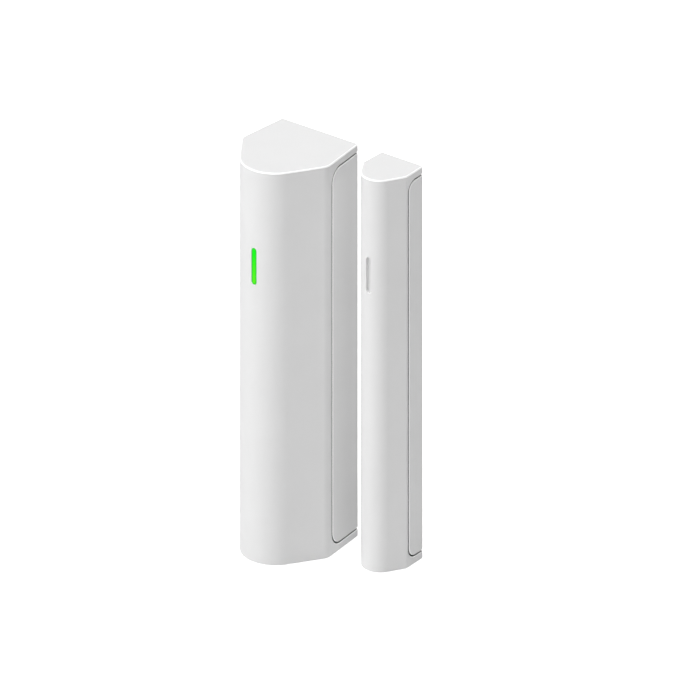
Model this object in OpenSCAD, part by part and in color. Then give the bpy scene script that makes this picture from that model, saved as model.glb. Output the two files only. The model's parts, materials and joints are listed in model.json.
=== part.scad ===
// Wireless door contact sensor: a sensor unit for the door frame and a magnet unit for the door.
// Millimetres. X runs to the right across the door, Y points into the wall, and Z is up.
// The origin is on the wall, at mid height on the sensor unit's centre line.

/* [Casings] */
// Height of both units
unit_h = 90; // [86:1:110]
// Distance between the centre lines of the two units
pitch = 21.1; // [21:0.5:30]
// Gap between the wall and the back of both casings
wall_gap = 0.5; // [0.4:0.1:0.6]
// Thickness of the end walls
end_wall = 1.8; // [1.6:0.1:2.2]
// Gap of the seam between a housing and its rear cover
seam = 0.4; // [0.2:0.02:0.4]

/* [Sensor unit] */
// Half width across the shoulders
sensor_half = 11; // [10.9:0.05:11.3]
// Half width at the back
sensor_back = 9.85; // [9.6:0.05:10]
// Depth from the back to the tip of the nose
sensor_depth = 22.6; // [22.4:0.1:23.4]
// Radius of the nose
sensor_nose = 7.4; // [7.2:0.05:7.6]
// Wall thickness
sensor_wall = 1.4; // [1.3:0.1:1.5]
// Depth of the rear cover, from the back to the seam
sensor_cover_depth = 10.4; // [10:0.1:10.5]
// Height of the indicator window
window_h = 8.4; // [6:0.2:9]
// Width of the indicator window
window_w = 1.3; // [1:0.1:1.4]

/* [Magnet unit] */
// Half width across the shoulders
magnet_half = 5.6; // [5.5:0.05:5.9]
// Half width at the back
magnet_back = 5.4; // [5.2:0.05:5.4]
// Depth from the back to the tip of the nose
magnet_depth = 11.6; // [11.5:0.1:12.2]
// Radius of the nose
magnet_nose = 4.05; // [3.9:0.05:4.2]
// Wall thickness
magnet_wall = 1.1; // [1:0.05:1.15]
// Depth of the rear cover, from the back to the seam
magnet_cover_depth = 5.3; // [5.2:0.1:5.6]
// Length of the bar magnet
magnet_l = 25; // [20:1:25]

/* [Mounting] */
// How far a unit slides up before it comes off its wall plate
lift = 8; // [7:0.5:8]
// Height of both wall plates
plate_h = 60; // [60:1:61]
// Distance between the two wall screws of a plate
screw_spacing = 52; // [51:0.5:52]
// Radius of the wall screw holes
screw_hole_r = 1.6; // [1.5:0.05:1.7]
// Outward travel of the tamper plunger as the sensor comes off
tamper_travel = 1.2; // [0.9:0.1:1.2]

/* [Hidden] */
$fn = 48;

shell_white = [0.93, 0.93, 0.93];
inner_grey = [0.8, 0.8, 0.8];
steel = [0.72, 0.73, 0.74];
eps = 0.01;

top = unit_h / 2;
back_y = -wall_gap;

// Each casing section is the outline around five circles: [x, y, radius].
shoulder_r = 3;
shoulder_y = 11.2;
edge_r = 0.5;
sensor_section = casing_circles(
    sensor_half, sensor_back, shoulder_y, shoulder_r, sensor_depth, sensor_nose);
magnet_shoulder_r = 0.8;
magnet_shoulder_y = 5.8;
magnet_section = casing_circles(
    magnet_half, magnet_back, magnet_shoulder_y, magnet_shoulder_r, magnet_depth, magnet_nose);
rim_r = 0.3;

// Side view of the rear covers
cover_margin = 1.9;
cover_h = unit_h - 2 * cover_margin;
sensor_cover_r = 3.1;
magnet_cover_r = 2.4;
lip_t = 0.7;
lip_clear = 0.15;
lip_l = 1.3;
lip_end = 4;
lip_space = 0.3;
sensor_lip_y = back_y - sensor_cover_depth - lip_l - lip_space;
magnet_lip_y = back_y - magnet_cover_depth - lip_l - lip_space;

// Tabs at the top of the rear covers
tab_w = 3;
tab_t = 0.9;
tab_y = -2.9;
tab_drop = 2.6;
tab_reach = 0.75;
tab_x = 6;

// Wall plates: their backs and the tape sunk into them lie on the wall.
tape_t = 0.8;
sensor_plate_t = 2.3;
sensor_plate_w = 14;
magnet_plate_t = 1.9;
magnet_plate_w = 6.4;
plate_r = 1.5;
play = 0.3;

// Hooks that hold a unit on its plate
hook_z = 20;
hook_l = 3;
sensor_hook_x = 4.9;
hook_stem = 1.6;
hook_head = 3.2;
hook_head_t = 1.05;
hook_play = 0.15;
hook_rest = 0.05;

// Recess floor of each rear cover
sensor_floor_y = -sensor_plate_t - play;
sensor_floor_t = 1.2;
sensor_floor_in = sensor_floor_y - sensor_floor_t;
magnet_floor_y = -magnet_plate_t - play;
magnet_floor_t = 0.9;
magnet_floor_in = magnet_floor_y - magnet_floor_t;

// Bar magnet
magnet_front = back_y - magnet_depth + 3.3;
magnet_t = 3.8;
magnet_w = 4.4;

// Circuit board
board_back = -8.7;
board_t = 1.2;
board_front = board_back - board_t;
board_w = 15;
board_low = -13;
board_high = 42;
led_z = 22.9;
board_screw_at = [[5.4, 38.5], [-5.4, -8]];
cover_screw_z = -9;

// Battery, a half-length lithium cell
cell_r = 7.25;
cell_l = 25.2;
cell_y = -12.2;
rib_low = -15;
rib_t = 1.2;
contact_t = 0.3;
cell_top = rib_low - contact_t - 0.05;
cell_low = cell_top - cell_l;
nub_l = 1;

// Tamper switch: the plunger's round tip rides on a ramp of the wall plate.
tamper_z = 6;
tamper_screw_z = -7;
plunger_r = 1.2;
ramp_slope = tamper_travel / lift;
ramp_touch = 0.05;
ramp_foot_z = tamper_z + lift;
ramp_front = -sensor_plate_t;
tip_gap = (plunger_r + ramp_touch) / cos(atan(ramp_slope));
tip_y = ramp_front - (ramp_foot_z - tamper_z) * ramp_slope - tip_gap;
tamper_base = board_back + 0.5;

// Power button
power_z = 25;
button_r = 1.75;

// Terminal block for a wired contact
terminal_x = -1.5;
terminal_z = 36.5;
terminal_w = 7.6;
terminal_l = 6.6;
terminal_y = -3;
pole = 1.9;

// Reed switches
reed_x = 6;
reed_y = -7.3;
reed_l = 12;
reed_r = 1.1;
reed_gap = 0.02;
reed_wire = 0.25;

// ---- Outlines ----

// Angle of the outward normal of the line that touches circle a and then circle b
function touch(a, b) =
    atan2(b.y - a.y, b.x - a.x) - acos((a.z - b.z) / norm([b.x - a.x, b.y - a.y]));

function arc(c, from, to) =
    let (facet = c.z > 3 ? 6 : c.z > 1.6 ? 10 : 15, steps = max(1, ceil(abs(to - from) / facet)))
    [
        for (i = [0:steps])
            let (t = from + (to - from) * i / steps)
            [c.x + c.z * cos(t), c.y + c.z * sin(t)]
    ];

// Points of the outline around circles that are listed counter-clockwise
function outline(circles) = let (n = len(circles)) [
    for (i = [0:n - 1])
        let (
            c = circles[i],
            from = touch(circles[(i + n - 1) % n], c),
            to = touch(c, circles[(i + 1) % n]),
            turn = (to - from + 720) % 360
        )
        each arc(c, from, from + turn)
];

// The same outline, set in by the stated amount, point for point
function ring_outline(circles, inset) = let (n = len(circles)) [
    for (i = [0:n - 1])
        let (
            c = circles[i],
            from = touch(circles[(i + n - 1) % n], c),
            turn = (touch(c, circles[(i + 1) % n]) - from + 720) % 360,
            full = arc([0, 0, c.z], from, from + turn)
        )
        for (p = full) [c.x + p.x * (c.z - inset) / c.z, c.y + p.y * (c.z - inset) / c.z]
];

function casing_circles(half, back, side, side_r, depth, nose) = [
    [half - side_r, back_y - side, side_r],
    [back - edge_r, back_y - edge_r, edge_r],
    [edge_r - back, back_y - edge_r, edge_r],
    [side_r - half, back_y - side, side_r],
    [0, back_y - depth + nose, nose]
];

function rounded_rectangle(w, h, r) = outline([
    [w / 2 - r, h / 2 - r, r],
    [r - w / 2, h / 2 - r, r],
    [r - w / 2, r - h / 2, r],
    [w / 2 - r, r - h / 2, r]
]);

// ---- Shared shapes ----

// A box given by its lowest and highest corners
module block(low, high) {
    translate(low) cube(high - low);
}

// A round bar along Y
module bar_y(r, x, z, from, to) {
    translate([x, from, z]) rotate([-90, 0, 0]) cylinder(r = r, h = to - from);
}

// A cone along Y
module cone_y(r_from, r_to, x, z, from, to) {
    translate([x, from, z]) rotate([-90, 0, 0]) cylinder(r1 = r_from, r2 = r_to, h = to - from);
}

// A slab parallel to the wall, given by its outline in X and Z
module slab(points, from, to) {
    translate([0, to, 0]) rotate([90, 0, 0]) linear_extrude(to - from) polygon(points);
}

// A round-ended slot through the wall of a nose
module slot(w, h, z, from, to) {
    block([-w / 2, from, z - (h - w) / 2], [w / 2, to, z + (h - w) / 2]);
    for (end = [-1, 1])
        bar_y(w / 2, 0, z + end * (h - w) / 2, from, to);
}

// A casing's section, set in from its outside, over the stated height
module prism(circles, inset, half_h) {
    translate([0, 0, -half_h]) linear_extrude(2 * half_h) offset(delta = -inset) polygon(outline(circles));
}

// The outer form of a casing: rings of points from its bottom rim to its top rim, both rounded
module casing(circles) {
    n = len(outline(circles));
    turns = [90, 60, 30, 0];
    rings = concat(
        [for (t = turns) [rim_r * (1 - cos(t)), rim_r * (1 - sin(t)) - top]],
        [for (t = [0, 30, 60, 90]) [rim_r * (1 - cos(t)), top - rim_r * (1 - sin(t))]]
    );
    points = [
        for (ring = rings)
            for (p = ring_outline(circles, ring.x))
                [p.x, p.y, ring.y]
    ];
    sides = [
        for (i = [0:len(rings) - 2], k = [0:n - 1])
            let (a = i * n + k, b = i * n + (k + 1) % n)
            [a, a + n, b + n, b]
    ];
    ends = [
        [for (k = [0:n - 1]) k],
        [for (k = [n - 1:-1:0]) (len(rings) - 1) * n + k]
    ];
    polyhedron(points, concat(sides, ends));
}

// The region of a casing that belongs to its rear cover: a round-cornered panel in side view
module cover_zone(depth, r, grow) {
    far = back_y - depth + r;
    high = cover_h / 2 - r;
    points = concat(
        [[2, -cover_h / 2 - grow], [2, cover_h / 2 + grow]],
        arc([far, high, r + grow], 90, 180),
        arc([far, -high, r + grow], 180, 270)
    );
    rotate([90, 0, 90]) linear_extrude(4 * sensor_half, center = true) polygon(points);
}

// The shell of a housing: open at the back where its cover fits
module housing_shell(circles, wall, depth, r) {
    difference() {
        casing(circles);
        prism(circles, wall, top - end_wall);
        cover_zone(depth, r, seam / 2);
    }
}

// The shell of a rear cover: back wall and side wings, with lips that reach into the housing
module cover_shell(circles, wall, depth, r) {
    lip_h = cover_h - 2 * lip_end;
    far = back_y - depth;
    difference() {
        intersection() {
            casing(circles);
            cover_zone(depth, r, -seam / 2);
        }
        prism(circles, wall, top);
    }
    intersection() {
        difference() {
            prism(circles, wall - 0.05, lip_h / 2);
            prism(circles, wall + lip_clear + lip_t, top);
        }
        block([-sensor_half, far + seam, -top], [sensor_half, far + 1.6, top]);
    }
    intersection() {
        difference() {
            prism(circles, wall + lip_clear, lip_h / 2);
            prism(circles, wall + lip_clear + lip_t, top);
        }
        block([-sensor_half, far - lip_l, -top], [sensor_half, far + 1.6, top]);
    }
}

// Where a tab at the top of a rear cover hooks into the housing's end wall
module tab_zone(x, grow) {
    half = tab_w / 2 + grow;
    near = tab_y + grow;
    block(
        [x - half, near - tab_t - 2 * grow, cover_h / 2 - tab_drop],
        [x + half, near, cover_h / 2 + tab_reach + grow]);
}

// The tab itself, joined to the cover's back wall
module cover_tab(x) {
    tab_zone(x, 0);
    block(
        [x - tab_w / 2, tab_y - eps, cover_h / 2 - tab_drop],
        [x + tab_w / 2, back_y - 0.8, cover_h / 2 - 1]);
}

// The pocket in a cover that a wall plate slides out of, open below the plate by the lift
module plate_pocket(w, floor_y) {
    block(
        [-w / 2 - play, floor_y, -plate_h / 2 - lift - play],
        [w / 2 + play, 1, plate_h / 2 + play]);
}

// A hook on a wall plate: a stem with a wider head behind the cover's floor
module hook(x, z, plate_front, floor_in) {
    head_y = floor_in - hook_play;
    block(
        [x - hook_stem / 2, head_y - eps, z - hook_l / 2],
        [x + hook_stem / 2, plate_front + eps, z + hook_l / 2]);
    block(
        [x - hook_head / 2, head_y - hook_head_t, z - hook_l / 2],
        [x + hook_head / 2, head_y, z + hook_l / 2]);
}

// The keyhole for a hook: narrow where the hook rests, wide where it enters
module keyhole(x, z, from, to) {
    narrow = hook_stem / 2 + play / 2;
    wide = hook_head / 2 + play / 2;
    block([x - narrow, from, z - lift], [x + narrow, to, z + hook_l / 2 + hook_rest]);
    block(
        [x - wide, from, z - lift - hook_l / 2 - play],
        [x + wide, to, z - lift + hook_l / 2 + play]);
}

// Countersunk holes for two wall screws
module wall_screw_holes(plate_front, sink) {
    for (z = [-screw_spacing / 2, screw_spacing / 2]) {
        bar_y(screw_hole_r, 0, z, plate_front - 1, 1);
        cone_y(screw_hole_r + sink, screw_hole_r, 0, z, plate_front, plate_front + sink);
    }
}

// Points of a coil about Z, from radius r0 to r1
function coil_path(r0, r1, height, turns, per_turn) = [
    for (i = [0:turns * per_turn])
        let (share = i / (turns * per_turn), turn = 360 * i / per_turn, r = r0 + (r1 - r0) * share)
        [r * cos(turn), r * sin(turn), height * share]
];

// Direction of a path at point i
function heading(path, i) =
    let (d = path[min(i + 1, len(path) - 1)] - path[max(i - 1, 0)]) d / norm(d);

// Round wire along a path that never runs straight up
module wire(path, wire_r, sides) {
    last = len(path) - 1;
    points = [
        for (i = [0:last])
            let (d = heading(path, i), level = cross(d, [0, 0, 1]), u = level / norm(level), v = cross(u, d))
            for (k = [0:sides - 1])
                let (q = 360 * k / sides)
                path[i] + wire_r * (cos(q) * u + sin(q) * v)
    ];
    skin = [
        for (i = [0:last - 1], k = [0:sides - 1])
            let (a = i * sides + k, b = i * sides + (k + 1) % sides)
            [a, a + sides, b + sides, b]
    ];
    ends = [
        [for (k = [0:sides - 1]) k],
        [for (k = [sides - 1:-1:0]) last * sides + k]
    ];
    polyhedron(points, concat(skin, ends));
}

// A small screw along Y with a cross recess, its head towards the wall
module screw(x, z, head_y, head_r, head_t, shank_r, shank_l) {
    recess_w = 0.5;
    recess_l = head_r * 1.3;
    difference() {
        union() {
            bar_y(head_r, x, z, head_y - head_t, head_y);
            bar_y(shank_r, x, z, head_y - head_t - shank_l, head_y - head_t + eps);
        }
        for (size = [[recess_l, recess_w], [recess_w, recess_l]])
            block(
                [x - size.x / 2, head_y - head_t * 0.6, z - size.y / 2],
                [x + size.x / 2, head_y + 1, z + size.y / 2]);
    }
}

// ---- Sensor unit, on the wall ----

module sensor_wall_plate() {
    front = -sensor_plate_t;
    tab_half = 4.6;
    tab_low = -12;
    tab_high = 15.4;
    tab_mid = (tab_low + tab_high) / 2;
    cut = 0.8;
    bridge = 0.6;
    ramp_half = 1.2;
    ramp_low = tamper_z - 3.5;
    ramp_top_z = tamper_z - 1.1;
    ramp_top_y = ramp_front - (ramp_foot_z - ramp_top_z) * ramp_slope;
    color(inner_grey)
    difference() {
        union() {
            slab(rounded_rectangle(sensor_plate_w, plate_h, plate_r), front, 0);
            for (x = [-sensor_hook_x, sensor_hook_x], z = [-hook_z, hook_z])
                hook(x, z, front, sensor_floor_in);
            translate([-ramp_half, 0, 0]) rotate([90, 0, 90]) linear_extrude(2 * ramp_half)
                polygon([
                    [front + eps, ramp_low - 0.5], [ramp_top_y, ramp_low],
                    [ramp_top_y, ramp_top_z], [front, ramp_foot_z], [front + eps, ramp_foot_z]
                ]);
        }
        wall_screw_holes(front, 1.1);
        // The breakaway tab: two side cuts and two end cuts, broken by thin bridges
        for (side = [-1, 1], part = [-1, 1])
            block(
                [side > 0 ? tab_half - cut : -tab_half, front - 1,
                    part > 0 ? tab_mid + bridge : tab_low],
                [side > 0 ? tab_half : cut - tab_half, 1,
                    part > 0 ? tab_high : tab_mid - bridge]);
        for (z = [tab_low, tab_high - cut])
            block([-tab_half + cut + bridge, front - 1, z], [tab_half - cut - bridge, 1, z + cut]);
        bar_y(screw_hole_r, 0, tamper_screw_z, front - 1, 1);
        sensor_tape_zone(-tape_t, 1);
    }
}

// Where the two pads of tape sit in the back of the sensor's wall plate
module sensor_tape_zone(from, to) {
    for (pad = [[19.9, 6.6], [-18, 9.4]])
        translate([0, 0, pad.x]) slab(rounded_rectangle(12, pad.y, 0.8), from, to);
}

module sensor_wall_tape() {
    color([0.9, 0.9, 0.86]) sensor_tape_zone(-tape_t, 0);
}

// The sensor's rear cover, with a pocket for the wall plate and an opening over the terminals
module sensor_rear_cover() {
    low = -plate_h / 2 - lift - play - sensor_floor_t;
    high = plate_h / 2 + play + sensor_floor_t;
    side = sensor_back - sensor_wall + 0.2;
    ramp_slot = 1.5;
    pad_r = 2.6;
    pad_y = sensor_floor_in - 1.5;
    head_r = 2.2;
    color(shell_white)
    difference() {
        union() {
            cover_shell(sensor_section, sensor_wall, sensor_cover_depth, sensor_cover_r);
            block([-side, sensor_floor_in, low], [side, back_y - 1, high]);
            bar_y(pad_r, 0, cover_screw_z, pad_y, sensor_floor_in + eps);
            for (x = [-tab_x, tab_x])
                cover_tab(x);
            for (side_x = [-1, 1])
                snap_lug(side_x, 0);
        }
        plate_pocket(sensor_plate_w, sensor_floor_y);
        for (x = [-sensor_hook_x, sensor_hook_x], z = [-hook_z, hook_z])
            keyhole(x, z, sensor_floor_in - 1, sensor_floor_y + 1);
        block(
            [-ramp_slot, sensor_floor_in - 0.5, tamper_z - lift - 4.3],
            [ramp_slot, sensor_floor_y + 1, ramp_foot_z + play]);
        bar_y(button_r + 0.15, 0, power_z, sensor_floor_in - 1, sensor_floor_y + 1);
        bar_y(head_r, 0, cover_screw_z, sensor_floor_in - 0.3, sensor_floor_y + 1);
        bar_y(1.2, 0, cover_screw_z, pad_y - 1, sensor_floor_y);
        // Window over the terminal block
        block(
            [terminal_x - terminal_w / 2 - play, back_y - 3, terminal_z - terminal_l / 2 - play],
            [terminal_x + terminal_w / 2 + play, 1, terminal_z + terminal_l / 2 + play]);
    }
}

// A lug on a lip, and with some growth the pocket that takes it
module snap_lug(side_x, grow) {
    lug_z = -28;
    lug_l = 5;
    lug_t = 0.7;
    lug_w = 0.9;
    lug_y = back_y - sensor_cover_depth - 0.75;
    reach = sensor_half - sensor_wall + 0.2;
    near = reach - lug_w;
    block(
        [side_x > 0 ? near : -reach - grow, lug_y - lug_t / 2 - grow, lug_z - lug_l / 2 - grow],
        [side_x > 0 ? reach + grow : -near, lug_y + lug_t / 2 + grow, lug_z + lug_l / 2 + grow]);
}

// ---- Sensor unit, casing ----

module sensor_housing() {
    nose_y = back_y - sensor_depth;
    color(shell_white)
    difference() {
        union() {
            housing_shell(sensor_section, sensor_wall, sensor_cover_depth, sensor_cover_r);
            intersection() {
                prism(sensor_section, sensor_wall / 2, top - end_wall / 2);
                union() {
                    for (at = board_screw_at)
                        bar_y(2, at.x, at.y, nose_y, board_front);
                    bar_y(2.5, 0, cover_screw_z, nose_y, sensor_floor_in - 1.6);
                    battery_rib();
                    battery_cradle();
                }
            }
        }
        slot(window_w, window_h, led_z, nose_y - 1, nose_y + 3);
        for (at = board_screw_at)
            bar_y(0.95, at.x, at.y, board_front - 6, board_front + 1);
        bar_y(1.05, 0, cover_screw_z, sensor_floor_in - 10, sensor_floor_in);
        for (x = [-tab_x, tab_x])
            tab_zone(x, 0.15);
        for (side_x = [-1, 1])
            snap_lug(side_x, 0.12);
    }
}

// The wall between the battery and the circuit board, with a slot for the positive contact
module battery_rib() {
    rib_half = 7.2;
    rib_end = -4.7;
    slot_half = 1.7;
    difference() {
        union() {
            block(
                [-sensor_half, back_y - sensor_depth, rib_low],
                [sensor_half, sensor_lip_y, rib_low + rib_t]);
            block([-rib_half, sensor_lip_y - eps, rib_low], [rib_half, rib_end, rib_low + rib_t]);
        }
        block(
            [-slot_half, board_front - contact_t - 0.3, rib_low - 1],
            [slot_half, board_front + 0.3, rib_low + rib_t + 1]);
    }
}

// Two ribs that carry the battery
module battery_cradle() {
    cradle_t = 1;
    difference() {
        for (z = [-35, -23])
            block([-sensor_half, back_y - sensor_depth, z], [sensor_half, sensor_lip_y, z + cradle_t]);
        translate([0, cell_y, -top]) cylinder(r = cell_r + 0.05, h = top);
    }
}

module light_guide() {
    nose_y = back_y - sensor_depth;
    flange_y = nose_y + sensor_wall + 0.3;
    flange_t = 0.9;
    flange_w = 2.6;
    flange_h = 10;
    stem_w = 1.8;
    stem_h = 7;
    stem_end = board_front - 1.1;
    color([0.2, 0.95, 0.15]) {
        intersection() {
            casing(sensor_section);
            slot(window_w - 0.08, window_h - 0.08, led_z, nose_y - 1, flange_y + eps);
        }
        block(
            [-flange_w / 2, flange_y, led_z - flange_h / 2],
            [flange_w / 2, flange_y + flange_t, led_z + flange_h / 2]);
        block([-stem_w / 2, flange_y, led_z - stem_h / 2], [stem_w / 2, stem_end, led_z + stem_h / 2]);
    }
}

// ---- Sensor unit, electronics ----

module circuit_board() {
    color([0.05, 0.35, 0.2])
    difference() {
        block([-board_w / 2, board_front, board_low], [board_w / 2, board_back, board_high]);
        for (at = board_screw_at)
            bar_y(1.1, at.x, at.y, board_front - 1, board_back + 1);
        bar_y(2.8, 0, cover_screw_z, board_front - 1, board_back + 1);
    }
}

module indicator_led() {
    color([0.95, 0.95, 0.8]) {
        block([-0.8, board_front - 0.5, led_z - 0.4], [0.8, board_front, led_z + 0.4]);
        bar_y(0.35, 0, led_z, board_front - 0.8, board_front - 0.4);
    }
}

module microcontroller() {
    size = 5;
    at = [-4, -1];
    color([0.12, 0.12, 0.12])
    difference() {
        block(
            [at.x - size / 2, board_front - 0.9, at.y - size / 2],
            [at.x + size / 2, board_front, at.y + size / 2]);
        bar_y(0.3, at.x - 1.7, at.y + 1.7, board_front - 2, board_front - 0.8);
    }
}

module radio_shield() {
    w = 10;
    l = 9;
    h = 2;
    skin = 0.25;
    z = 10;
    color(steel)
    difference() {
        block([-w / 2, board_front - h, z - l / 2], [w / 2, board_front, z + l / 2]);
        block(
            [skin - w / 2, board_front - h + skin, z - l / 2 + skin],
            [w / 2 - skin, board_front + 1, z + l / 2 - skin]);
        for (x = [-3, 0, 3], dz = [-2, 2])
            bar_y(0.4, x, z + dz, board_front - h - 1, board_front - h + 1);
    }
}

module board_passives() {
    size = [0.8, 0.5, 1.6];
    rows = [[[3, 5.5], [-1, 1.5]], [[-5, -3, 4, 6], [17]], [[4.5], [29, 31]]];
    color([0.6, 0.5, 0.4])
    for (row = rows, x = row[0], z = row[1])
        block(
            [x - size.x / 2, board_front - size.y, z - size.z / 2],
            [x + size.x / 2, board_front, z + size.z / 2]);
}

module antenna_coil() {
    r = 2.2;
    at = [-3.2, board_front - 3.3, 28.6];
    helix = [for (p = coil_path(r, r, 9, 6, 12)) at + p];
    foot = [at.x + r, board_front - 0.02, at.z];
    color([0.75, 0.6, 0.35])
    wire(concat([foot, foot - [0, 1, 0]], helix), 0.4, 6);
}

// One reed switch; side is 1 for the main one, by the magnet, and -1 for the other.
module reed_glass(side) {
    skin = 0.25;
    seal = 1.6;
    straight = reed_l - 2 * reed_r;
    color([0.75, 0.9, 0.85])
    translate([side * reed_x, reed_y, led_z]) difference() {
        union() {
            cylinder(r = reed_r, h = straight, center = true);
            for (end = [-1, 1])
                translate([0, 0, end * straight / 2]) sphere(r = reed_r);
        }
        cylinder(r = reed_r - skin, h = reed_l - 2 * seal, center = true);
        cylinder(r = reed_wire + 0.02, h = reed_l + 2, center = true);
    }
}

module reed_leads(side) {
    out = 2.6;
    half = reed_l / 2;
    blade_t = 0.2;
    color(steel)
    translate([side * reed_x, 0, led_z]) {
        // Upper lead, with the fixed blade
        translate([0, reed_y, half - 3]) cylinder(r = reed_wire, h = 3 + out);
        bar_y(reed_wire, 0, half + out - reed_wire, board_back, reed_y);
        block([-0.5, reed_y - blade_t / 2, -0.8], [0.5, reed_y + blade_t / 2, half - 2.6]);
        // Lower lead, up to the root of the moving blade
        translate([0, reed_y, -half - out]) cylinder(r = reed_wire, h = out + 1.55);
        bar_y(reed_wire, 0, -half - out + reed_wire, board_back, reed_y);
    }
}

module reed_blade(side) {
    t = 0.14;
    root = -reed_l / 2 + 1.85;
    root_r = 0.15;
    y = reed_y + 0.1 + reed_gap + t / 2;
    color(steel)
    translate([side * reed_x, y, led_z]) {
        translate([-0.5, 0, root]) rotate([0, 90, 0]) cylinder(r = root_r, h = 1);
        block([-0.5, -t / 2, root], [0.5, t / 2, 0.8]);
    }
}

// ---- Sensor unit, battery ----

module battery_cell() {
    color(steel)
    translate([0, cell_y, cell_low]) difference() {
        cylinder(r = cell_r - 0.1, h = cell_l - nub_l);
        translate([0, 0, cell_l - nub_l - 0.6]) cylinder(r = 3.6, h = 1);
    }
}

module battery_sleeve() {
    color([0.2, 0.32, 0.55])
    translate([0, cell_y, cell_low + 0.3]) difference() {
        cylinder(r = cell_r, h = cell_l - nub_l - 0.6);
        translate([0, 0, -1]) cylinder(r = cell_r - 0.1, h = cell_l);
    }
}

module battery_cap() {
    color([0.85, 0.7, 0.4])
    translate([0, cell_y, cell_top - nub_l - 0.6]) {
        cylinder(r = 3.6, h = 0.6);
        cylinder(r = 2.4, h = 0.6 + nub_l);
    }
}

module battery_spring() {
    wire_r = 0.3;
    low = -top + end_wall + 0.05 + contact_t;
    color(steel)
    translate([0, cell_y, low + wire_r])
        wire(coil_path(4.6, 2.2, cell_low - low - 2 * wire_r - 0.02, 3, 16), wire_r, 6);
}

module battery_negative_contact() {
    low = -top + end_wall + 0.05;
    strip_y = sensor_floor_in - 0.3;
    leg_z = board_low - 0.1;
    color(steel) {
        block([-4.5, cell_y - 4.5, low], [4.5, strip_y, low + contact_t]);
        block([-1, strip_y - contact_t, low], [1, strip_y, leg_z]);
        block([-1, board_back, leg_z - contact_t], [1, strip_y, leg_z]);
        block([-1, board_back, leg_z - contact_t], [1, board_back + contact_t, leg_z + 1.2]);
    }
}

module battery_positive_contact() {
    color(steel) {
        block([-3, cell_y - 3, rib_low - contact_t], [3, board_front, rib_low]);
        block([-1.4, board_front - contact_t, rib_low - contact_t], [1.4, board_front, cover_screw_z - 2.7]);
    }
}

// ---- Sensor unit, switches and terminals ----

module tamper_switch() {
    half = 3.2;
    high = tamper_base + 2.6;
    color([0.1, 0.1, 0.1])
    difference() {
        block([-half, board_back, tamper_z - half], [half, high, tamper_z + half]);
        bar_y(plunger_r + 0.1, 0, tamper_z, tamper_base, high + 1);
        bar_y(2, 0, tamper_z, tamper_base, high - 0.6);
    }
}

module tamper_plunger() {
    base = tamper_base + 0.25;
    color([0.9, 0.9, 0.9])
    difference() {
        union() {
            bar_y(plunger_r, 0, tamper_z, base, tip_y);
            translate([0, tip_y, tamper_z]) sphere(r = plunger_r);
            bar_y(1.8, 0, tamper_z, base, base + 0.5);
        }
        bar_y(0.8, 0, tamper_z, base - 1, tip_y - 0.6);
    }
}

module tamper_spring() {
    wire_r = 0.1;
    far = tip_y - 0.6;
    color(steel)
    translate([0, far - wire_r, tamper_z]) rotate([90, 0, 0])
        wire(coil_path(0.6, 0.6, far - tamper_base - 2 * wire_r, 4, 10), wire_r, 6);
}

module power_switch() {
    half = 2.2;
    color(steel)
    difference() {
        block([-half, board_back, power_z - half], [half, board_back + 1.8, power_z + half]);
        bar_y(1.2, 0, power_z, board_back + 0.7, board_back + 3);
    }
}

module power_button() {
    flange_y = sensor_floor_in - 0.15;
    color([0.85, 0.85, 0.85]) {
        bar_y(button_r, 0, power_z, flange_y - eps, sensor_floor_y - 0.2);
        bar_y(2.4, 0, power_z, flange_y - 0.6, flange_y);
        bar_y(1, 0, power_z, board_back + 1.5, flange_y - 0.5);
    }
}

module terminal_block() {
    low = [terminal_x - terminal_w / 2, board_back, terminal_z - terminal_l / 2];
    high = [terminal_x + terminal_w / 2, terminal_y, terminal_z + terminal_l / 2];
    color([0.15, 0.45, 0.3])
    difference() {
        block(low, high);
        for (x = [terminal_x - pole, terminal_x + pole]) {
            block([x - 1.25, board_back + 1, low.z + 1], [x + 1.25, terminal_y - 2.2, high.z + 1]);
            bar_y(1.4, x, terminal_z, terminal_y - 1.8, terminal_y + 1);
            bar_y(0.9, x, terminal_z, terminal_y - 3, terminal_y);
        }
    }
}

module terminal_clamps() {
    base = board_back + 1.15;
    roof = terminal_y - 2.35;
    color([0.8, 0.7, 0.4])
    for (x = [terminal_x - pole, terminal_x + pole])
        difference() {
            block([x - 1.1, base, terminal_z - 1.6], [x + 1.1, roof, terminal_z + 1.6]);
            block([x - 0.7, base + 0.3, terminal_z - 2], [x + 0.7, roof - 0.5, terminal_z + 2]);
            bar_y(0.85, x, terminal_z, base + 1, roof + 1);
        }
}

module terminal_screw(x) {
    head_r = 1.3;
    head_t = 1.2;
    color(steel)
    difference() {
        union() {
            bar_y(head_r, x, terminal_z, terminal_y - 0.3 - head_t, terminal_y - 0.3);
            bar_y(0.75, x, terminal_z, terminal_y - 3.2, terminal_y - 0.5);
        }
        block([x - 0.2, terminal_y - 0.9, terminal_z - 2], [x + 0.2, terminal_y + 1, terminal_z + 2]);
    }
}

module board_screws() {
    color(steel)
    for (at = board_screw_at)
        screw(at.x, at.y, board_back + 1.1, 1.7, 1.1, 0.9, 5);
}

module cover_screw() {
    color(steel) screw(0, cover_screw_z, sensor_floor_y - 0.15, 1.9, 1.3, 1, 8);
}

// ---- Magnet unit, drawn about its own centre line ----

module at_magnet() {
    translate([pitch, 0, 0]) children();
}

module magnet_tape_zone(from, to) {
    slab(rounded_rectangle(5.2, 32, 0.6), from, to);
}

module magnet_wall_plate() {
    front = -magnet_plate_t;
    color(inner_grey)
    at_magnet() difference() {
        union() {
            slab(rounded_rectangle(magnet_plate_w, plate_h, plate_r), front, 0);
            for (z = [-hook_z, hook_z])
                hook(0, z, front, magnet_floor_in);
        }
        wall_screw_holes(front, 0.9);
        magnet_tape_zone(-tape_t, 1);
    }
}

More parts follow.
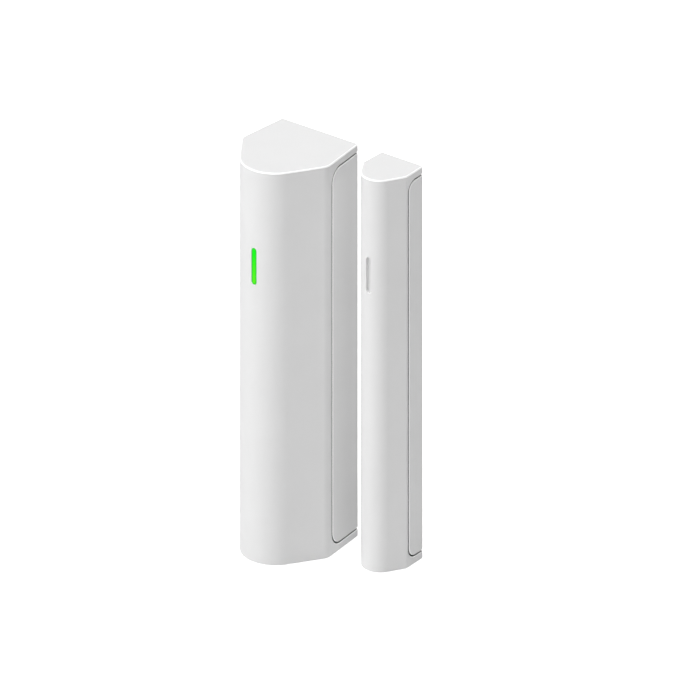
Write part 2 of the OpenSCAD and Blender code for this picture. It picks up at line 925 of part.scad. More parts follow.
module magnet_wall_tape() {
    color([0.9, 0.9, 0.86]) at_magnet() magnet_tape_zone(-tape_t, 0);
}

module magnet_rear_cover() {
    low = -plate_h / 2 - lift - play - magnet_floor_t;
    high = plate_h / 2 + play + magnet_floor_t;
    side = magnet_back - magnet_wall + 0.2;
    color(shell_white)
    at_magnet() difference() {
        union() {
            cover_shell(magnet_section, magnet_wall, magnet_cover_depth, magnet_cover_r);
            cover_tab(0);
            block([-side, magnet_floor_in, low], [side, back_y - 0.8, high]);
        }
        plate_pocket(magnet_plate_w, magnet_floor_y);
        for (z = [-hook_z, hook_z])
            keyhole(0, z, magnet_floor_in - 1, magnet_floor_y + 1);
    }
}

module magnet_housing() {
    nose_y = back_y - magnet_depth;
    stop_t = 1;
    mark_depth = 0.75;
    stop_w = 5;
    color(shell_white)
    at_magnet() difference() {
        union() {
            housing_shell(magnet_section, magnet_wall, magnet_cover_depth, magnet_cover_r);
            intersection() {
                prism(magnet_section, magnet_wall / 2, top - end_wall / 2);
                union() {
                    for (z = [led_z - magnet_l / 2 - stop_t - 0.1, led_z + magnet_l / 2 + 0.1]) {
                        block([-magnet_half, nose_y, z], [magnet_half, magnet_lip_y, z + stop_t]);
                        block(
                            [-stop_w / 2, nose_y, z],
                            [stop_w / 2, magnet_front + magnet_t, z + stop_t]);
                    }
                    for (z = [led_z - 9, led_z + 8])
                        block([-magnet_half, nose_y, z], [magnet_half, magnet_front, z + stop_t]);
                }
            }
        }
        tab_zone(0, 0.15);
        // The mark that shows where the magnet lies
        slot(window_w, window_h - 0.3, led_z, nose_y - 1, nose_y + mark_depth);
    }
}

module magnet_bar() {
    half = magnet_l / 2;
    color([0.35, 0.36, 0.38])
    at_magnet()
        block(
            [-magnet_w / 2, magnet_front, led_z - half],
            [magnet_w / 2, magnet_front + magnet_t, led_z + half]);
}

module magnet_foam_pad() {
    low = led_z + 1.5;
    color([0.25, 0.25, 0.27])
    at_magnet() block([-2, magnet_front + magnet_t, low], [2, magnet_floor_in, low + 9]);
}

sensor_wall_plate();
sensor_wall_tape();
sensor_rear_cover();
sensor_housing();
light_guide();
circuit_board();
indicator_led();
microcontroller();
radio_shield();
board_passives();
antenna_coil();
reed_glass(1);  // main_reed_glass
reed_leads(1);  // main_reed_leads
reed_blade(1);  // main_reed_blade
reed_glass(-1);  // secondary_reed_glass
reed_leads(-1);  // secondary_reed_leads
reed_blade(-1);  // secondary_reed_blade
battery_cell();
battery_sleeve();
battery_cap();
battery_spring();
battery_negative_contact();
battery_positive_contact();
tamper_switch();
tamper_plunger();
tamper_spring();
power_switch();
power_button();
terminal_block();
terminal_clamps();
terminal_screw(terminal_x - pole);  // left_terminal_screw
terminal_screw(terminal_x + pole);  // right_terminal_screw
board_screws();
cover_screw();
magnet_wall_plate();
magnet_wall_tape();
magnet_rear_cover();
magnet_housing();
magnet_bar();
magnet_foam_pad();
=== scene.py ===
"""Looks of the wireless door contact sensor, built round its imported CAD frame.

Everything is in metres: X runs across the door, Y into the wall, and Z is up. The two casings are built anew
with smooth noses, rounded seams and window edges; their inner ribs, lips and bosses come from the CAD nodes.
"""

import json
import math

import bmesh
import bpy
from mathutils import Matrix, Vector
from mathutils.bvhtree import BVHTree

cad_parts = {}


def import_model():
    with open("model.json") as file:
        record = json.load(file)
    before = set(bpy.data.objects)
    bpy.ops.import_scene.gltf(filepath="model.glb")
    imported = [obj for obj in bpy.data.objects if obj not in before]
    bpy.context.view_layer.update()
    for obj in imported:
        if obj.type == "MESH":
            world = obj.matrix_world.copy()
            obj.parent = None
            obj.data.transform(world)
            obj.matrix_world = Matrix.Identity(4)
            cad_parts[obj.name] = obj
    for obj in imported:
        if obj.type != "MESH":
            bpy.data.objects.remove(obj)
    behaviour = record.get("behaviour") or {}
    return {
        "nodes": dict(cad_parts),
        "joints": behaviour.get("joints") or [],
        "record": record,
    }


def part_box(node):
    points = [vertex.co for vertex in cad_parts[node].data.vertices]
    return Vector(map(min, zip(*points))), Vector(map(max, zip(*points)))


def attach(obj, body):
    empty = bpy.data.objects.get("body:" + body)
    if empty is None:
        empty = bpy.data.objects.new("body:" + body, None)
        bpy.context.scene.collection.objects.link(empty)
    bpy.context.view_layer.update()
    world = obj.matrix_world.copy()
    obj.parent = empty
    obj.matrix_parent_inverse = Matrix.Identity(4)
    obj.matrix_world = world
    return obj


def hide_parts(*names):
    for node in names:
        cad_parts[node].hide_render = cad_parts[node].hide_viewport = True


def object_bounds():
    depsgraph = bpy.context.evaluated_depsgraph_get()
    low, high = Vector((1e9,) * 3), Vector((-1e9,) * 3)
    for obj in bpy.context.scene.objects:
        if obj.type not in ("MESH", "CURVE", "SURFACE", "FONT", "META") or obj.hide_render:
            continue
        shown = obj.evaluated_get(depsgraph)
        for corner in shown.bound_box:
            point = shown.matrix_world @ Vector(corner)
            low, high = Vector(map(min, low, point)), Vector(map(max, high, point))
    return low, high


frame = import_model()
cad_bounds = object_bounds()

MM = 0.001

# ---- Form of the casings ----

# The number of facets round each nose is odd, so that the window's edges fall inside a facet.
SENSOR = {
    "back_half": 9.85 * MM,
    "shoulder_depth": 11.2 * MM,
    "shoulder_radius": 3 * MM,
    "nose_radius": 7.4 * MM,
    "nose_facets": 45,
    "seam_depth": 10.4 * MM,
    "seam_radius": 3.1 * MM,
}
MAGNET = {
    "back_half": 5.4 * MM,
    "shoulder_depth": 5.8 * MM,
    "shoulder_radius": 0.8 * MM,
    "nose_radius": 4.05 * MM,
    "nose_facets": 27,
    "seam_depth": 5.3 * MM,
    "seam_radius": 2.4 * MM,
}
RIM_RADIUS = 0.3 * MM
RIM_STEPS = 6
EDGE_RADIUS = 0.5 * MM
CORNER_FACETS = 10
# A bend set in to a smaller radius than this becomes a corner.
SHARPEST = 0.025 * MM
SEAM_GAP = 0.4 * MM
COVER_MARGIN = 1.9 * MM
WINDOW_WIDTH = 1.3 * MM
WINDOW_HEIGHT = 8.4 * MM
WINDOW_DEPTH = 3 * MM
MARK_HEIGHT = 8.1 * MM
MARK_DEPTH = 0.75 * MM
ARC_FACETS = 16
PLATE_PLAY = 0.3 * MM
SENSOR_POCKET_FLOOR = -2.6 * MM
MAGNET_POCKET_FLOOR = -2.2 * MM
TERMINAL_WINDOW_DEPTH = 3 * MM

# ---- How the shells are cut and joined ----

# FIT keeps a cutter's faces off the CAD faces that they follow. PAST carries a cutter clear of a solid.
FIT = 0.02 * MM
PAST = 2 * MM
# SKIN is a new outer layer's thickness. The CAD shell's inside starts CORE_INSET below the outside, and it is
# cleared RIND deep across the seam, SEAM_RECESS further than the skin.
SKIN = 0.5 * MM
CORE_INSET = 0.35 * MM
RIND = 0.8 * MM
SEAM_RECESS = 0.05 * MM
# Points nearer than WELD are merged. Points nearer than ON_SKIN to the outside count as on it.
WELD = 0.0005 * MM
ON_SKIN = 0.01 * MM
# Faces that meet at less than this many degrees are merged.
FLAT = 0.2
# The window and the mark open within this distance of the nose's front.
NOSE_ZONE = 1 * MM

# ---- Rounded edges ----

HOUSING_SEAM_BEVEL = 0.12 * MM
COVER_SEAM_BEVEL = 0.16 * MM
POCKET_BEVEL = 0.16 * MM
WINDOW_BEVEL = 0.07 * MM
BEVEL_SEGMENTS = 3
SHARP_ANGLE = 40
SMOOTH_ANGLE = 35
# An outer face is part of the top rim, which gets a painted highlight, if the Z of its normal lies between
# these.
RIM_UP_FROM = 0.1
RIM_UP_TO = 0.99
# How much of the seam's painted shade goes where its wall faces up.
LEDGE_LIGHT = 0.55

# ---- Light guide ----

# The guide keeps GUIDE_GAP from the window's sides, and lies GUIDE_SINK below the nose's surface.
GUIDE_GAP = 0.06 * MM
GUIDE_SINK = 0.06 * MM
# The new front goes GUIDE_FRONT deep, and overlaps the CAD part behind it, which lies within GUIDE_REACH.
GUIDE_FRONT = 1 * MM
GUIDE_OVERLAP = 0.2 * MM
GUIDE_REACH = 10 * MM
GUIDE_BEVEL = 0.12 * MM

# ---- CAD nodes that stay ----

ROUND_WIRES = {"antenna_coil", "battery_spring", "tamper_spring", "main_reed_glass", "secondary_reed_glass"}
NODE_BEVEL = 0.1 * MM
NODE_BEVEL_SHARE = 1 / 12
NODE_BEVEL_SEGMENTS = 2
NODE_SHARP_ANGLE = 50
FLAT_ANGLE = 1
FLAT_WEIGHT = 90

# ---- Materials ----

# Most of a noise texture's values lie between these.
NOISE_LOW = 0.3
NOISE_HIGH = 0.7

# ---- Stage, light and camera ----

FLOOR_HALF = 3
FLOOR_DROP = 0.3 * MM
# The camera sees the floor and the surroundings as white. To everything else they are soft light.
FLOOR_GLOW = 0.1
FILL = 0.15
WHITE_TO_CAMERA = 1.1
SOFTBOX_SIZE = 1.7
SOFTBOX_DISTANCE = 2
# Each softbox: name, azimuth, elevation and power. Azimuth 0 is in front of the object, 90 to its right.
SOFTBOXES = [
    ("top", 0, 88, 14.6),
    ("top_front", -10, 60, 17.3),
    ("front_left", -30, 30, 15.9),
    ("front_right", 40, 30, 2),
    ("right_back", 125, 20, 0.6),
    ("back", 180, 30, 16.3),
]
PICTURE_WIDTH = 143.35 * MM
CAMERA_AZIMUTH = 37.15
CAMERA_ELEVATION = 26.75
CAMERA_DISTANCE = 1
CAMERA_NEAR = 0.01
CAMERA_FAR = 20
AIM_RIGHT = 6.46 * MM
AIM_UP = 1.33 * MM


# ---- Meshes and booleans ----


def add_mesh(name, points, faces):
    mesh = bpy.data.meshes.new(name)
    mesh.from_pydata([tuple(p) for p in points], [], faces)
    piece = bpy.data.objects.new(name, mesh)
    bpy.context.scene.collection.objects.link(piece)
    return piece


def tidy(piece):
    """Merges points that coincide and makes the faces look outwards."""
    bm = bmesh.new()
    bm.from_mesh(piece.data)
    bmesh.ops.remove_doubles(bm, verts=bm.verts, dist=WELD)
    bmesh.ops.dissolve_degenerate(bm, edges=bm.edges, dist=WELD)
    bmesh.ops.recalc_face_normals(bm, faces=bm.faces)
    bm.to_mesh(piece.data)
    bm.free()
    return piece


def copy_node(node, name):
    """A closed copy of a CAD node's mesh, to cut and join."""
    mesh = frame["nodes"][node].data.copy()
    for layer in ("custom_normal", "sharp_edge", "sharp_face"):
        if layer in mesh.attributes:
            mesh.attributes.remove(mesh.attributes[layer])
    piece = bpy.data.objects.new(name, mesh)
    bpy.context.scene.collection.objects.link(piece)
    return tidy(piece)


def combine(piece, other, operation):
    """Cuts, joins or crosses piece with other, which is used up."""
    modifier = piece.modifiers.new(operation, "BOOLEAN")
    modifier.object = other
    modifier.operation = operation
    modifier.solver = "MANIFOLD"
    graph = bpy.context.evaluated_depsgraph_get()
    mesh = bpy.data.meshes.new_from_object(piece.evaluated_get(graph))
    piece.modifiers.clear()
    piece.data = mesh
    bpy.data.objects.remove(other)
    return piece


def named(piece, name):
    piece.name = name
    piece.data.name = name
    return piece


def box_mesh(low, high):
    points = [(x, y, z) for x in (low[0], high[0]) for y in (low[1], high[1]) for z in (low[2], high[2])]
    faces = [(0, 1, 3, 2), (4, 6, 7, 5), (0, 4, 5, 1), (2, 3, 7, 6), (0, 2, 6, 4), (1, 5, 7, 3)]
    return tidy(add_mesh("cutter", points, faces))


def extruded(outline, axis, low, high):
    """A prism whose outline lies across axis 0 (outline in Y, Z) or axis 1 (outline in X, Z)."""
    def place(p, along):
        return (along, p[0], p[1]) if axis == 0 else (p[0], along, p[1])

    count = len(outline)
    points = [place(p, low) for p in outline] + [place(p, high) for p in outline]
    sides = [(k, (k + 1) % count, count + (k + 1) % count, count + k) for k in range(count)]
    return tidy(add_mesh("prism", points, sides + [tuple(range(count)), tuple(range(count, 2 * count))]))


# ---- Outlines ----


def arc(cx, cy, radius, start, turn, steps):
    angles = [start + turn * k / steps for k in range(steps + 1)]
    return [(cx + radius * math.cos(t), cy + radius * math.sin(t)) for t in angles]


def tangent_angle(a, b):
    """Angle of the outward normal of the line that touches circle a and then circle b."""
    reach = math.hypot(b[0] - a[0], b[1] - a[1])
    return math.atan2(b[1] - a[1], b[0] - a[0]) - math.acos((a[2] - b[2]) / reach)


def casing_circles(form, low, high):
    """The five circles (x, y, radius) that a casing's section goes round, counter-clockwise."""
    half = (high.x - low.x) / 2
    side = half - form["shoulder_radius"]
    side_y = high.y - form["shoulder_depth"]
    back = form["back_half"] - EDGE_RADIUS
    back_y = high.y - EDGE_RADIUS
    return [
        (side, side_y, form["shoulder_radius"]),
        (back, back_y, EDGE_RADIUS),
        (-back, back_y, EDGE_RADIUS),
        (-side, side_y, form["shoulder_radius"]),
        (0, low.y + form["nose_radius"], form["nose_radius"]),
    ]


def section(circles, inset, nose_facets):
    """A casing's section, set in from its outside. A bend tighter than the inset becomes a corner."""
    points = []
    for i, (cx, cy, radius) in enumerate(circles):
        start = tangent_angle(circles[i - 1], circles[i])
        end = tangent_angle(circles[i], circles[(i + 1) % len(circles)])
        turn = (end - start) % (2 * math.pi)
        left = radius - inset
        if left > SHARPEST:
            steps = nose_facets if i == len(circles) - 1 else CORNER_FACETS
            points += arc(cx, cy, left, start, turn, steps)
        else:
            corner = left / math.cos(turn / 2)
            middle = start + turn / 2
            points.append((cx + corner * math.cos(middle), cy + corner * math.sin(middle)))
    return points


# ---- Casings ----


class Casing:
    """One unit's outer form, worked out from its two CAD shells."""

    def __init__(self, form, housing, cover):
        self.form = form
        low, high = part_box(housing)
        self.low = low
        self.high = high
        self.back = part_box(cover)[1].y
        self.middle = (low.x + high.x) / 2
        self.top = high.z
        self.circles = casing_circles(form, low, Vector((high.x, self.back, high.z)))

    def solid(self, inset=0.0):
        """The casing as one closed solid, with round rims on the outside and sharp ones when set in."""
        if inset == 0:
            bends = [math.pi / 2 * k / RIM_STEPS for k in range(RIM_STEPS + 1)]
            up = [(RIM_RADIUS * (1 - math.cos(t)), self.top - RIM_RADIUS * (1 - math.sin(t))) for t in bends]
            rings = [(d, -z) for d, z in reversed(up)] + up
        else:
            rings = [(inset, inset - self.top), (inset, self.top - inset)]
        outlines = [section(self.circles, d, self.form["nose_facets"]) for d, _ in rings]
        count = len(outlines[0])
        points = [(self.middle + x, y, z) for ring, (_, z) in zip(outlines, rings) for x, y in ring]
        last = (len(rings) - 1) * count
        faces = []
        for start in range(0, last, count):
            for k in range(count):
                after = (k + 1) % count
                faces.append((start + k, start + after, start + count + after, start + count + k))
        faces += [tuple(range(count)), tuple(range(last, last + count))]
        return tidy(add_mesh("casing", points, faces))

    def cover_zone(self, grow):
        """The round-cornered region, in side view, that belongs to the rear cover."""
        form = self.form
        radius = form["seam_radius"]
        far = self.back - form["seam_depth"] + radius
        half = self.top - COVER_MARGIN
        beyond = self.back + PAST
        outline = [(beyond, -half - grow), (beyond, half + grow)]
        outline += arc(far, half - radius, radius + grow, math.pi / 2, math.pi / 2, ARC_FACETS)
        outline += arc(far, radius - half, radius + grow, math.pi, math.pi / 2, ARC_FACETS)
        reach = 2 * (self.high.x - self.middle)
        return extruded(outline, 0, self.middle - reach, self.middle + reach)

    def slot(self, width, height, low_y, high_y):
        """A round-ended cutter through the nose, at the height of the indicator window."""
        radius = width / 2
        end = height / 2 - radius
        outline = arc(self.middle, window_z + end, radius, 0, math.pi, ARC_FACETS)
        outline += arc(self.middle, window_z - end, radius, math.pi, math.pi, ARC_FACETS)
        return extruded(outline, 1, low_y, high_y)

    def skin(self, operation, grow):
        """The thin outer layer of one shell."""
        layer = combine(self.solid(), self.solid(SKIN), "DIFFERENCE")
        return combine(layer, self.cover_zone(grow), operation)

    def core(self, node, operation, grow):
        """The CAD shell's inside, kept a little back from the skin's outside and from the seam."""
        inside = combine(copy_node(node, "core"), self.solid(CORE_INSET), "INTERSECT")
        rind = combine(self.solid(), self.solid(RIND), "DIFFERENCE")
        rind = combine(rind, self.cover_zone(grow), operation)
        return combine(inside, rind, "DIFFERENCE")

    def housing(self, node, name):
        skin = self.skin("DIFFERENCE", SEAM_GAP / 2)
        core = self.core(node, "INTERSECT", SEAM_GAP / 2 + SEAM_RECESS)
        return named(combine(skin, core, "UNION"), name)

    def cover(self, node, name):
        skin = self.skin("INTERSECT", -SEAM_GAP / 2)
        core = self.core(node, "DIFFERENCE", -SEAM_GAP / 2 - SEAM_RECESS)
        return named(combine(skin, core, "UNION"), name)

    def surface_tree(self):
        """The outside as a search tree, to tell which points lie on it."""
        outside = self.solid()
        source = bmesh.new()
        source.from_mesh(outside.data)
        tree = BVHTree.FromBMesh(source)
        source.free()
        bpy.data.objects.remove(outside)
        return tree

    def seam_distance(self, point):
        """How far a point lies, in side view, outside the cover's round-cornered edge."""
        radius = self.form["seam_radius"]
        out_y = self.back - self.form["seam_depth"] + radius - point.y
        out_z = abs(point.z) - (self.top - COVER_MARGIN - radius)
        return math.hypot(max(out_y, 0), max(out_z, 0)) + min(max(out_y, out_z), 0) - radius

    def edge_kind(self, vertex):
        """Which of the casing's edges a corner belongs to."""
        if abs(self.seam_distance(vertex.co)) < SEAM_GAP:
            return "seam"
        return "window" if vertex.co.y < self.low.y + NOSE_ZONE else "pocket"

    def shade_of(self, face):
        """How much painted shade a wall of the seam gets: less where it faces up. 0 elsewhere."""
        in_seam = all(self.edge_kind(v) == "seam" for v in face.verts)
        return 1 - LEDGE_LIGHT * max(face.normal.z, 0) if in_seam else 0

    def round_edges(self, piece, seam_bevel):
        """Rounds the sharp edges on the casing's outside, each kind by its own width.

        Round faces, rims too, are marked for a painted highlight, and the walls of the seam for painted
        shade.
        """
        tree = self.surface_tree()
        tidy(piece)
        bm = bmesh.new()
        bm.from_mesh(piece.data)
        bmesh.ops.dissolve_limit(bm, angle_limit=math.radians(FLAT), verts=bm.verts, edges=bm.edges)

        def on_skin(vertex):
            return tree.find_nearest(vertex.co)[3] < ON_SKIN

        # Faces marked here get a painted highlight, a lighter colour and a glow; the seam's walls get painted
        # shade.
        edge = bm.faces.layers.float.new("painted_highlight")
        shade = bm.faces.layers.float.new("shade")
        for face in bm.faces:
            outer = all(on_skin(v) for v in face.verts)
            face[edge] = 1 if outer and RIM_UP_FROM < face.normal.z < RIM_UP_TO else 0
            face[shade] = 0 if outer else self.shade_of(face)
        for kind, width in (("seam", seam_bevel), ("pocket", POCKET_BEVEL), ("window", WINDOW_BEVEL)):
            sharp = [
                e for e in bm.edges
                if len(e.link_faces) == 2 and e.calc_face_angle() > math.radians(SHARP_ANGLE)
                and all(on_skin(v) and self.edge_kind(v) == kind for v in e.verts)
            ]
            made = bmesh.ops.bevel(
                bm, geom=sharp, offset=width, offset_type="OFFSET", segments=BEVEL_SEGMENTS, profile=0.5,
                affect="EDGES", clamp_overlap=False,
            )
            for face in made["faces"]:
                face[edge] = 1
                face[shade] = 0
        bmesh.ops.remove_doubles(bm, verts=bm.verts, dist=2 * WELD)
        bmesh.ops.dissolve_degenerate(bm, edges=bm.edges, dist=2 * WELD)
        bm.to_mesh(piece.data)
        bm.free()


# ---- New pieces ----


def smooth(piece):
    """Smooth shading that keeps corners crisp and flat faces flat."""
    for polygon in piece.data.polygons:
        polygon.use_smooth = True
    piece.data.set_sharp_from_angle(angle=math.radians(SMOOTH_ANGLE))
    weighted = piece.modifiers.new("normals", "WEIGHTED_NORMAL")
    weighted.keep_sharp = True


def finish_piece(piece, body, slot, *nodes):
    """Hangs a new piece on its CAD body in place of the CAD nodes."""
    smooth(piece)
    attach(piece, body)
    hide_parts(*nodes)
    piece.data.materials.clear()
    piece.data.materials.append(materials[slot])


def travel(joint):
    """A sliding joint's upper limit."""
    return next(j["range_m"][1] for j in frame["joints"] if j["name"] == joint)


def pocket(plate, floor_y, lift):
    """The cutter for the pocket that a wall plate sits in, open below it by the lift."""
    low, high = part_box(plate)
    side = PLATE_PLAY + FIT
    near = (low.x - side, floor_y + FIT, low.z - lift - side)
    return box_mesh(near, (high.x + side, PAST / 2, high.z + side))


def terminal_window():
    """The cutter for the opening behind the terminal block."""
    low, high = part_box("terminal_block")
    side = PLATE_PLAY + FIT
    near = (low.x - side, sensor.back - TERMINAL_WINDOW_DEPTH, low.z - side)
    return box_mesh(near, (high.x + side, PAST / 2, high.z + side))


def sensor_housing():
    piece = sensor.housing("sensor_housing", "sensor_housing_shell")
    nose = sensor.low.y
    width = WINDOW_WIDTH + 2 * FIT
    height = WINDOW_HEIGHT + 2 * FIT
    combine(piece, sensor.slot(width, height, nose - NOSE_ZONE, nose + WINDOW_DEPTH), "DIFFERENCE")
    sensor.round_edges(piece, HOUSING_SEAM_BEVEL)
    finish_piece(piece, "sensor_unit", "casing_white", "sensor_housing")


def sensor_cover():
    piece = sensor.cover("sensor_rear_cover", "sensor_cover_shell")
    combine(piece, pocket("sensor_wall_plate", SENSOR_POCKET_FLOOR, travel("sensor_lift")), "DIFFERENCE")
    combine(piece, terminal_window(), "DIFFERENCE")
    sensor.round_edges(piece, COVER_SEAM_BEVEL)
    finish_piece(piece, "sensor_unit", "casing_white", "sensor_rear_cover")


def magnet_housing():
    piece = magnet.housing("magnet_housing", "magnet_housing_shell")
    nose = magnet.low.y
    width = WINDOW_WIDTH + 2 * FIT
    height = MARK_HEIGHT + 2 * FIT
    combine(piece, magnet.slot(width, height, nose - NOSE_ZONE, nose + MARK_DEPTH + FIT), "DIFFERENCE")
    magnet.round_edges(piece, HOUSING_SEAM_BEVEL)
    finish_piece(piece, "magnet_unit", "casing_white", "magnet_housing")


def magnet_cover():
    piece = magnet.cover("magnet_rear_cover", "magnet_cover_shell")
    combine(piece, pocket("magnet_wall_plate", MAGNET_POCKET_FLOOR, travel("magnet_lift")), "DIFFERENCE")
    magnet.round_edges(piece, COVER_SEAM_BEVEL)
    finish_piece(piece, "magnet_unit", "casing_white", "magnet_rear_cover")


def light_guide():
    """The lit bar: its front follows the nose, just under the surface, with soft edges."""
    nose = sensor.low.y
    width = WINDOW_WIDTH - 2 * GUIDE_GAP
    height = WINDOW_HEIGHT - 2 * GUIDE_GAP
    front = sensor.slot(width, height, nose - GUIDE_FRONT, nose + GUIDE_FRONT)
    front = combine(front, sensor.solid(GUIDE_SINK), "INTERSECT")
    low = (-GUIDE_REACH, nose + GUIDE_FRONT - GUIDE_OVERLAP, window_z - GUIDE_REACH)
    high = (GUIDE_REACH, sensor.back, window_z + GUIDE_REACH)
    rear = combine(copy_node("light_guide", "guide"), box_mesh(low, high), "INTERSECT")
    piece = tidy(named(combine(front, rear, "UNION"), "light_guide_bar"))
    bevel = piece.modifiers.new("edges", "BEVEL")
    bevel.width = GUIDE_BEVEL
    bevel.segments = BEVEL_SEGMENTS
    bevel.limit_method = "ANGLE"
    bevel.angle_limit = math.radians(SHARP_ANGLE)
    finish_piece(piece, "sensor_unit", "light_guide", "light_guide")


# ---- Procedural materials ----


class Surface:
    """A procedural material being put together. Sizes of spots and grain are in metres."""

    def __init__(self, name):
        self.material = bpy.data.materials.new(name)
        self.material.use_nodes = True
        self.nodes = self.material.node_tree.nodes
        self.links = self.material.node_tree.links
        self.shader = self.nodes["Principled BSDF"]
        self.place = self.nodes.new("ShaderNodeTexCoord").outputs["Object"]

    def noise(self, size, detail=2, stretch=(1, 1, 1)):
        mapping = self.nodes.new("ShaderNodeMapping")
        mapping.inputs["Scale"].default_value = [1 / (size * s) for s in stretch]
        texture = self.nodes.new("ShaderNodeTexNoise")
        texture.inputs["Scale"].default_value = 1
        texture.inputs["Detail"].default_value = detail
        self.links.new(self.place, mapping.inputs["Vector"])
        self.links.new(mapping.outputs["Vector"], texture.inputs["Vector"])
        return texture.outputs["Fac"]

    def spread(self, value, low, high, new_low=0, new_high=1):
        """Maps the range from low to high to the new range, and cuts off what lies beyond it."""
        node = self.nodes.new("ShaderNodeMapRange")
        node.inputs["From Min"].default_value = low
        node.inputs["From Max"].default_value = high
        node.inputs["To Min"].default_value = new_low
        node.inputs["To Max"].default_value = new_high
        self.links.new(value, node.inputs["Value"])
        return node.outputs["Result"]

    def spots(self, size, detail=2, stretch=(1, 1, 1), low=0, high=1):
        """Noise stretched out to the range from low to high."""
        return self.spread(self.noise(size, detail, stretch), NOISE_LOW, NOISE_HIGH, low, high)

    def mark(self, name):
        """A face attribute of the mesh."""
        node = self.nodes.new("ShaderNodeAttribute")
        node.attribute_name = name
        return node.outputs["Fac"]

    def mix(self, share, first, second):
        node = self.nodes.new("ShaderNodeMix")
        node.data_type = "RGBA"
        self.links.new(share, node.inputs["Factor"])
        for socket, value in ((node.inputs["A"], first), (node.inputs["B"], second)):
            if isinstance(value, tuple):
                socket.default_value = (*value, 1)
            else:
                self.links.new(value, socket)
        return node.outputs["Result"]

    def calculate(self, operation, value, amount=0):
        node = self.nodes.new("ShaderNodeMath")
        node.operation = operation
        self.links.new(value, node.inputs[0])
        node.inputs[1].default_value = amount
        return node.outputs[0]

    def feed(self, value, name):
        self.links.new(value, self.shader.inputs[name])

    def colour(self, dark, light, size, detail=3, stretch=(1, 1, 1)):
        self.feed(self.mix(self.spots(size, detail, stretch), dark, light), "Base Color")

    def roughness(self, low, high, size):
        self.feed(self.spots(size, low=low, high=high), "Roughness")

    def grain(self, size, depth, detail=3, stretch=(1, 1, 1)):
        bump = self.nodes.new("ShaderNodeBump")
        bump.inputs["Strength"].default_value = 1
        bump.inputs["Distance"].default_value = depth
        self.links.new(self.noise(size, detail, stretch), bump.inputs["Height"])
        self.feed(bump.outputs["Normal"], "Normal")

    def set(self, **values):
        for name, value in values.items():
            self.shader.inputs[name.replace("_", " ")].default_value = value


def casing_white():
    """Satin white moulding with a very fine even texture, a painted highlight and glow on its rounded edges,
    and painted shade inside the seams.
    """
    # The lighter colour and the glow on rounded edges and rims are a painted highlight; the near-black seam
    # walls are painted shade.
    highlight_colour = (0.97, 0.97, 0.97)
    highlight_glow = 0.15
    seam_shade = (0.07, 0.07, 0.07)
    surface = Surface("casing_white")
    plain = surface.mix(surface.spots(9 * MM, detail=3), (0.80, 0.80, 0.80), (0.815, 0.815, 0.815))
    edge = surface.mark("painted_highlight")
    light = surface.mix(edge, plain, highlight_colour)
    surface.feed(surface.mix(surface.mark("shade"), light, seam_shade), "Base Color")
    surface.feed(surface.spread(edge, 0, 1, 0, highlight_glow), "Emission Strength")
    surface.roughness(low=0.38, high=0.46, size=1.2 * MM)
    surface.grain(size=0.25 * MM, depth=0.0016 * MM)
    return surface.material


def plate_white():
    surface = Surface("plate_white")
    surface.colour(dark=(0.60, 0.60, 0.59), light=(0.64, 0.64, 0.63), size=7 * MM)
    surface.roughness(low=0.45, high=0.6, size=0.8 * MM)
    surface.grain(size=0.3 * MM, depth=0.004 * MM)
    return surface.material


def tape_foam():
    surface = Surface("tape_foam")
    surface.colour(dark=(0.66, 0.66, 0.60), light=(0.76, 0.76, 0.70), size=1.2 * MM)
    surface.roughness(low=0.8, high=0.95, size=0.5 * MM)
    surface.grain(size=0.35 * MM, depth=0.05 * MM, detail=5)
    return surface.material


def from_spine(surface):
    """Distance from the line that runs down the middle of the indicator window, and its height."""
    place = surface.nodes.new("ShaderNodeSeparateXYZ")
    surface.links.new(surface.place, place.inputs["Vector"])
    height = place.outputs["Z"]
    above = surface.calculate("ABSOLUTE", surface.calculate("SUBTRACT", height, window_z))
    straight = (WINDOW_HEIGHT - WINDOW_WIDTH) / 2
    beyond = surface.calculate("MAXIMUM", surface.calculate("SUBTRACT", above, straight))
    offset = surface.nodes.new("ShaderNodeCombineXYZ")
    surface.links.new(place.outputs["X"], offset.inputs["X"])
    surface.links.new(beyond, offset.inputs["Z"])
    length = surface.nodes.new("ShaderNodeVectorMath")
    length.operation = "LENGTH"
    surface.links.new(offset.outputs["Vector"], length.inputs[0])
    return length.outputs["Value"], height


def lit_guide():
    """Lit green plastic: deep green above, yellower below, darker towards the edges of the window."""
    below = (0.12, 0.88, 0.008)
    above = (0.002, 0.93, 0.003)
    edge = (0.045, 0.56, 0.05)
    bright_half = 0.12 * MM
    dim_half = 0.56 * MM
    above_share = 0.6
    surface = Surface("light_guide")
    distance, height = from_spine(surface)
    half = WINDOW_HEIGHT / 2
    middle = surface.mix(surface.spread(height, window_z - half, window_z + half * above_share), below, above)
    glow = surface.mix(surface.spread(distance, bright_half, dim_half), middle, edge)
    surface.feed(glow, "Emission Color")
    surface.colour(dark=(0.0, 0.05, 0.0), light=(0.0, 0.06, 0.0), size=1 * MM)
    surface.roughness(low=0.25, high=0.35, size=0.5 * MM)
    surface.set(Emission_Strength=1.0, Specular_IOR_Level=0.05)
    return surface.material


def board_green():
    """Solder mask over faint traces."""
    surface = Surface("board_green")
    mask = (0.012, 0.14, 0.06)
    surface.colour(dark=(0.004, 0.075, 0.03), light=mask, size=0.9 * MM, detail=0, stretch=(1, 1, 8))
    surface.roughness(low=0.25, high=0.4, size=0.6 * MM)
    surface.grain(size=0.5 * MM, depth=0.02 * MM, detail=1, stretch=(1, 1, 6))
    surface.set(Coat_Weight=0.4)
    return surface.material


def part_black():
    surface = Surface("part_black")
    surface.colour(dark=(0.012, 0.012, 0.013), light=(0.02, 0.02, 0.021), size=1.5 * MM)
    surface.roughness(low=0.4, high=0.55, size=0.4 * MM)
    surface.grain(size=0.12 * MM, depth=0.004 * MM)
    return surface.material


